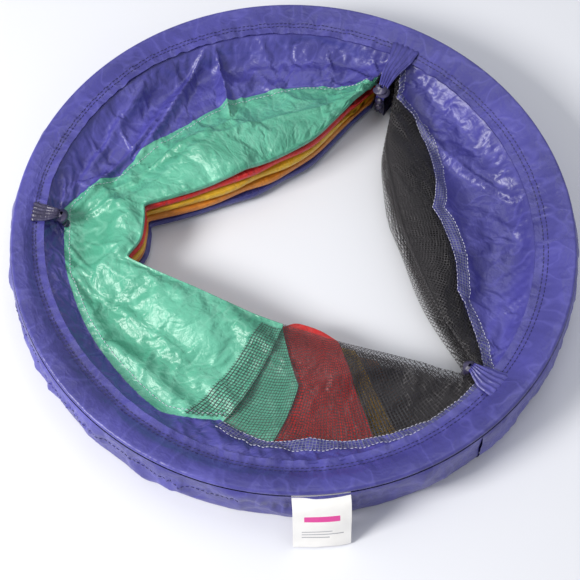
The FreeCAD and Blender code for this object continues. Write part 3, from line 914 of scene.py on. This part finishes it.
def squashed(piece, middle_azimuth, slot):
    """Rides with the top section's cloth, and flattens against the hoop with it."""
    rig.ride(piece, "top_ring")
    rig.squash(piece, "green_section_slide", **against_hoop(middle_azimuth, ring_level(HOOPS)))
    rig.slot(piece, slot)


points, normals, neat, cloth, across, around, columns = top_leaf
STRIP_WIDTH = 0.012
seam_row = CUFF_ROWS - 1
lift = 0.0007


def behind_seam(grid, chosen, backs):
    """Lines on the cuff that run at these shares of the strip's width behind the window's seam."""
    lines = np.zeros((len(backs), len(chosen), 3))
    for place, column in enumerate(chosen):
        run = across[:CUFF_ROWS, column]
        width = min(STRIP_WIDTH, run[-1] * 0.8)
        at = run[-1] - np.array(backs) * width
        for n in range(3):
            lines[:, place, n] = np.interp(at, run, grid[:CUFF_ROWS, column, n])
    return lines


upright = normals * np.sign(normals[..., 2:3])
for piece_number, (first, last) in enumerate(zip(top_spans[0][1][:-1], top_spans[0][1][1:]), start=1):
    chosen, middle = sector(around, first, last)
    backs = [1.0, 0.8, 0.6, 0.4, 0.2, 0.0]
    facing = behind_seam(upright, chosen, backs)
    on_cuff = behind_seam(points, chosen, backs)
    flat_cloth = np.stack([np.broadcast_to(cloth[0, chosen, 0], (6, len(chosen))),
                           np.array(backs)[:, None] * STRIP_WIDTH + np.zeros(len(chosen))], -1)
    strip = lay_cloth(f"window_strip_{piece_number}", on_cuff + facing * lift, flat_cloth, strip_net)
    squashed(strip, middle, "net")
    widths = np.minimum(STRIP_WIDTH, across[seam_row, chosen] * 0.8)
    steps = np.linalg.norm(np.diff(neat[seam_row, chosen], axis=0), axis=1)
    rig.sheet(strip, flat=(float(steps.sum()), float(widths.max())),
             area=float((steps * (widths[1:] + widths[:-1]) / 2).sum()), held="stretched", rests_on=["entry_cuff"])
    for row_number, row in enumerate((0, 5)):
        threads = stitches(f"window_stitches_{row_number + 1}_{piece_number}",
                           on_cuff[row] + facing[row] * lift * 1.2, facing[row], pale_thread)
        squashed(threads, middle, "sleeve_cloth")

chosen = np.arange(columns - 17, columns + 1) % columns
middle = math.radians(around[columns - 8])
rows = slice(CUFF_ROWS, CUFF_ROWS + PANEL_ROWS - 2)
raised = points[rows][:, chosen] + normals[rows][:, chosen] * lift * np.sign(normals[rows][:, chosen][..., 2:3])
turned_in = cloth[rows][:, chosen].copy()
turned_in[:, -1, 0] += 2 * math.pi * 0.16
turned_net = lay_cloth("turned_in_net", raised, turned_in, window_net)
squashed(turned_net, middle, "net")
wide, long, area = cut_size(neat[rows][:, chosen])
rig.sheet(turned_net, flat=(wide, long), area=area, held="stretched", rests_on=["green_panel"])

for part_number, (first, last) in enumerate(zip(top_spans[1][1][:-1], top_spans[1][1][1:]), start=1):
    chosen, middle = sector(around, first, last)
    up = normals[seam_row + 2, chosen] * np.sign(normals[seam_row + 2, chosen][:, 2:3])
    threads = stitches(f"panel_stitches_{part_number}", points[seam_row + 2, chosen] + up * 0.0003, up, pale_thread)
    squashed(threads, middle, "green_cloth")

for row_number, row in enumerate((3, 2)):
    line = np.concatenate([rim_points[row], rim_points[row][:1]])
    up = np.zeros_like(line)
    up[:, 2] = 1
    threads = stitches(f"sleeve_stitches_{row_number + 1}", line + up * 0.0003, up, dark_thread,
                       0.0040, 0.0029, 0.00032)
    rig.ride(threads, "top_ring")
    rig.slot(threads, "sleeve_cloth")


front_turn = np.radians(np.linspace(196, 262, 160))
front_line = np.stack([0.2478 * np.cos(front_turn), 0.2478 * np.sin(front_turn),
                       0.0016 + SECOND_ROW * 0.0430 + 0 * front_turn], -1)
front_out = np.stack([np.cos(front_turn), np.sin(front_turn), 0 * front_turn], -1)
wall_rest = np.array([v.co for v in bpy.data.objects["blue_wall"].data.vertices], float)
wall_turn = np.degrees(np.arctan2(wall_rest[:, 1], wall_rest[:, 0])) % 360
near_row = np.abs(wall_rest[:, 2] - front_line[0, 2]) < 0.0012
order = np.argsort(wall_turn[near_row])
wall_away = np.interp(np.degrees(front_turn), wall_turn[near_row][order],
                      np.hypot(wall_rest[near_row, 0], wall_rest[near_row, 1])[order])
front_line[:, :2] = front_out[:, :2] * (wall_away + 0.0002)[:, None]
threads = stitches("outer_wall_stitches", front_line, front_out, dark_thread, 0.0042, 0.0030, 0.00030)
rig.blend(threads, "floor_ring", "ring_2", start=(0, 0, 0.0016), end=(0, 0, 0.0458))
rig.slot(threads, "sleeve_cloth")


# ---------------------------------------------------------------- tie ribbons
# Three straps of the sleeve's own cloth hold the folded stack together. Each comes out of the top
# sleeve's seam, gathered into a small knot in the bore, and its lower half comes up from the floor sleeve.

# Painted shade: a darker, greyer copy of the sleeve cloth, for the knots, the lower straps and the left strap where
# they lie in shade.
tie_cloth = taffeta("tie_cloth", (0.026, 0.022, 0.055), (0.055, 0.047, 0.105), (0.12, 0.11, 0.22), 13)


def eased(line, times):
    """A line of values with its corners rounded a little, several times over; its ends stay."""
    for _ in range(times):
        line[1:-1] = (line[:-2] + 2 * line[1:-1] + line[2:]) / 4
    return line


def gathered_strap(name, azimuth, path, widths, finish, pleats, seed):
    """A strap gathered into lengthwise pleats along a path of (radius, height), wide or narrow as it runs."""
    path = np.array(path)
    share = np.concatenate([[0], np.cumsum(np.hypot(*np.diff(path, axis=0).T))])
    run = np.linspace(0, share[-1], 90)
    away, high = (eased(np.interp(run, share, path[:, n]), 6) for n in (0, 1))
    width = np.interp(run, share, widths)
    side = np.linspace(-1, 1, 33)
    slope = np.stack([np.gradient(away), np.gradient(high)], -1)
    slope /= np.linalg.norm(slope, axis=1, keepdims=True)
    out = np.stack([-slope[:, 1], slope[:, 0]], -1)
    out *= np.sign(out[:1, 1:2] + 1e-9)
    chance = np.random.default_rng(seed)
    wander = chance.uniform(0, 6, 2)
    ridge = 1 - np.abs(np.sin(side[None, :] * math.pi * pleats / 2 + 0.5 * np.sin(run[:, None] * 120 + wander[0])))
    ridge = ridge * (0.0010 + 0.0010 * np.exp(-(width[:, None] / 0.010) ** 2)) + 0.0006 * (1 - side[None, :] ** 2)
    sideways = side[None, :] * width[:, None] / 2 + 0.0006 * np.sin(run[:, None] * 170 + wander[1])
    radial = away[:, None] + out[:, :1] * ridge
    height = high[:, None] + out[:, 1:] * ridge
    turn = math.radians(azimuth)
    points = np.stack([radial * math.cos(turn) - sideways * math.sin(turn),
                       radial * math.sin(turn) + sideways * math.cos(turn), np.maximum(height, 0.0006)], -1)
    cloth = np.stack([sideways, run[:, None] + 0 * sideways], -1)
    strap = lay_cloth(name, points, cloth, finish)
    wide, long, area = cut_size(points)
    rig.sheet(strap, flat=(wide, long), area=area, held="gathered", rests_on=["rim_sleeve_6"])
    return strap


def half_knot(name, azimuth, away, low, high, size, finish, seed):
    """Lumpy half of a tied knot: turns of the strap wound tight round each other."""
    winding = np.linspace(0, 2 * math.pi, 48, endpoint=False)[None, :]
    up = np.linspace(0, 1, 22)[:, None]
    belly = np.sin(np.pi * np.clip(up * 0.94 + 0.03, 0, 1)) ** 0.55
    turns = 0.16 * (1 - np.abs(np.sin(winding + up * 7.5 + seed))) + 0.08 * np.sin(winding * 3 + up * 9 + seed)
    radius = size * belly * (0.84 + turns)
    turn = math.radians(azimuth)
    across, along = radius * np.cos(winding), radius * np.sin(winding)
    radial = away + along * 0.85
    points = np.stack([radial * math.cos(turn) - across * math.sin(turn),
                       radial * math.sin(turn) + across * math.cos(turn),
                       low + up * (high - low) + 0 * across], -1)
    cloth = np.stack([winding * size + 0 * across, up * (high - low) + 0 * across], -1)
    return lay_cloth(name, points, cloth, finish, around=True)


for tie, (azimuth, away) in TIE_SPOTS.items():
    # the left strap takes the painted-shade copy of the sleeve cloth; the far and right straps take the sleeve cloth
    # itself
    finish = tie_cloth if tie == "left" else sleeve_cloth
    wide = {"left": 0.019, "far": 0.026, "right": 0.025}[tie]
    wrap_size = {"left": 0.0066, "far": 0.0080, "right": 0.0066}[tie]
    seed = {"left": 1, "far": 2, "right": 3}[tie]
    facing_x, facing_y = math.cos(math.radians(azimuth)), math.sin(math.radians(azimuth))
    top_path = []
    for neat_away, neat_high in ((0.2195, 0.0478), (0.2165, 0.0501), (0.2110, 0.0503), (0.2060, 0.0502)):
        px, py, pz = settled(neat_away * facing_x, neat_away * facing_y, neat_high)
        top_path.append((float(np.hypot(px, py)), float(pz)))
    lean = top_path[-1][1] / 0.0502
    top_path += [(away + 0.0040, 0.0470 * lean + 0.0025), (away + 0.0010, 0.0435 * lean), (away, 0.0252)]
    narrowing = (wide - 0.0090) * (0.205 - away) / (0.2165 - away)
    top_widths = [wide, wide, wide * 0.90, min(wide * 0.85, 0.0090 + narrowing + 0.004), 0.0095, 0.0085, 0.0080]
    strap = gathered_strap(f"{tie}_strap_upper", azimuth, top_path, top_widths, finish, 5, seed)
    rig.ride(strap, "top_ring")
    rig.replaces(strap, f"{tie}_tie_upper")
    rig.slot(strap, "ribbon")
    knot = half_knot(f"{tie}_knot_upper", azimuth, away - 0.0012, 0.0254, 0.0330, 0.0040, tie_cloth, seed)
    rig.ride(knot, "top_ring")
    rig.slot(knot, "ribbon")
    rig.padded(knot, fill=0.9)
    wrap = half_knot(f"{tie}_wrap", azimuth, away + 0.0008, 0.0385 * lean, 0.0505 * lean, wrap_size, tie_cloth,
                     seed + 4)
    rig.ride(wrap, "top_ring")
    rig.slot(wrap, "ribbon")
    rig.padded(wrap, fill=0.9)
    low_path = [(0.2120, 0.0030), ((0.212 + away) / 2 + 0.002, 0.0032), (away + 0.0030, 0.0040), (away, 0.0080),
                (away, 0.0248)]
    low_strap = gathered_strap(f"{tie}_strap_lower", azimuth, low_path, [0.012, 0.012, 0.011, 0.010, 0.0085],
                               tie_cloth, 3, seed + 8)
    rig.ride(low_strap, "floor_ring")
    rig.replaces(low_strap, f"{tie}_tie_lower")
    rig.slot(low_strap, "ribbon")
    low_knot = half_knot(f"{tie}_knot_lower", azimuth, away - 0.0012, 0.0172, 0.0247, 0.0040, tie_cloth, seed + 2)
    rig.ride(low_knot, "floor_ring")
    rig.slot(low_knot, "ribbon")
    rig.padded(low_knot, fill=0.9)


# ---------------------------------------------------------------- sewn tag
# Soft white satin tag, sewn in under the top sleeve and hanging out over the rim. It is plain apart
# from one pink bar and three thin grey rules.

tag_satin, start = new_finish("tag_satin")
at = start.node("ShaderNodeAttribute", {"attribute_name": "cloth"}, output=1)
tag_across, tag_along = (start.node("ShaderNodeSeparateXYZ", {}, {0: at}, output=side) for side in (0, 1))


def printed(from_edge, half_height, half_length, shift):
    """A plain bar across the tag: 1 inside it and 0 outside."""
    inside_height = start.maths("LESS_THAN", start.maths("ABSOLUTE", tag_along - from_edge), half_height)
    inside_length = start.maths("LESS_THAN", start.maths("ABSOLUTE", tag_across - shift), half_length)
    return inside_height * inside_length


yarns = start.node("ShaderNodeTexWave", {"bands_direction": "X"}, {"Vector": at, "Scale": 600.0})
soft = start.node("ShaderNodeTexNoise", {}, {"Vector": at, "Scale": 70.0, "Detail": 3.0})
satin_relief = start.node("ShaderNodeBump", {}, {"Strength": 0.15, "Distance": 0.0004,
                                                 "Height": yarns * 0.3 + soft * 3.0})
white = soft.tinted((0.80, 0.78, 0.75), (0.93, 0.92, 0.90))
pink = printed(0.0225, 0.0028, 0.0140, 0.0)
grey = printed(0.0370, 0.0005, 0.0120, -0.0040) + printed(0.0405, 0.0005, 0.0165, 0.0005) \
    + printed(0.0440, 0.0005, 0.0110, -0.0050)
satin = start.node("ShaderNodeBsdfPrincipled", {}, {
    "Base Color": grey.tinted(pink.tinted(white, (0.72, 0.03, 0.30)), (0.30, 0.30, 0.33)),
    "Roughness": 0.34 + soft * 0.25, "Sheen Weight": 0.3, "Normal": satin_relief})
start.node("ShaderNodeOutputMaterial", {}, {"Surface": satin})

tag_path = np.array([(0.2385, 0.0440), (0.2430, 0.0438), (0.2490, 0.0415), (0.2540, 0.0330), (0.2590, 0.0200),
                     (0.2635, 0.0085), (0.2665, 0.0010)])
tag_run = np.concatenate([[0], np.cumsum(np.hypot(*np.diff(tag_path, axis=0).T))])
run = np.linspace(0, tag_run[-1], 60)
away, high = (eased(np.interp(run, tag_run, tag_path[:, n]), 20) for n in (0, 1))
side = np.linspace(-0.023, 0.023, 41)[None, :]
curl = 0.0006 * np.sin(side * 110 + 0.6) * (run / tag_run[-1])[:, None] \
    + 0.0003 * np.sin(run[:, None] * 260 + side * 60)
turn_of_tag = math.radians(-83)
radial = away[:, None] + curl - side ** 2 / 0.55
radial = np.minimum(radial, 0.2668)
points = np.stack([radial * math.cos(turn_of_tag) - side * math.sin(turn_of_tag),
                   radial * math.sin(turn_of_tag) + side * math.cos(turn_of_tag),
                   np.maximum(high[:, None] + 0 * side, 0.0008)], -1)
cloth = np.stack([side + 0 * run[:, None], run[:, None] + 0 * side], -1)
sewn_tag = lay_cloth("sewn_tag", points, cloth, tag_satin)
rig.ride(sewn_tag, "top_ring")
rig.replaces(sewn_tag, "woven_tag")
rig.slot(sewn_tag, "tag_satin")
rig.sheet(sewn_tag, flat=(0.046, float(tag_run[-1])), held="hung", rests_on=["rim_sleeve_6"])


# ---------------------------------------------------------------- sizes, and the end
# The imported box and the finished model's box are written side by side, so that they can be compared.

with open("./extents.json", "w") as sizes:
    json.dump({"cad": [list(c) for c in cad_box], "visual": [list(c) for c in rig.bounds()]}, sizes)
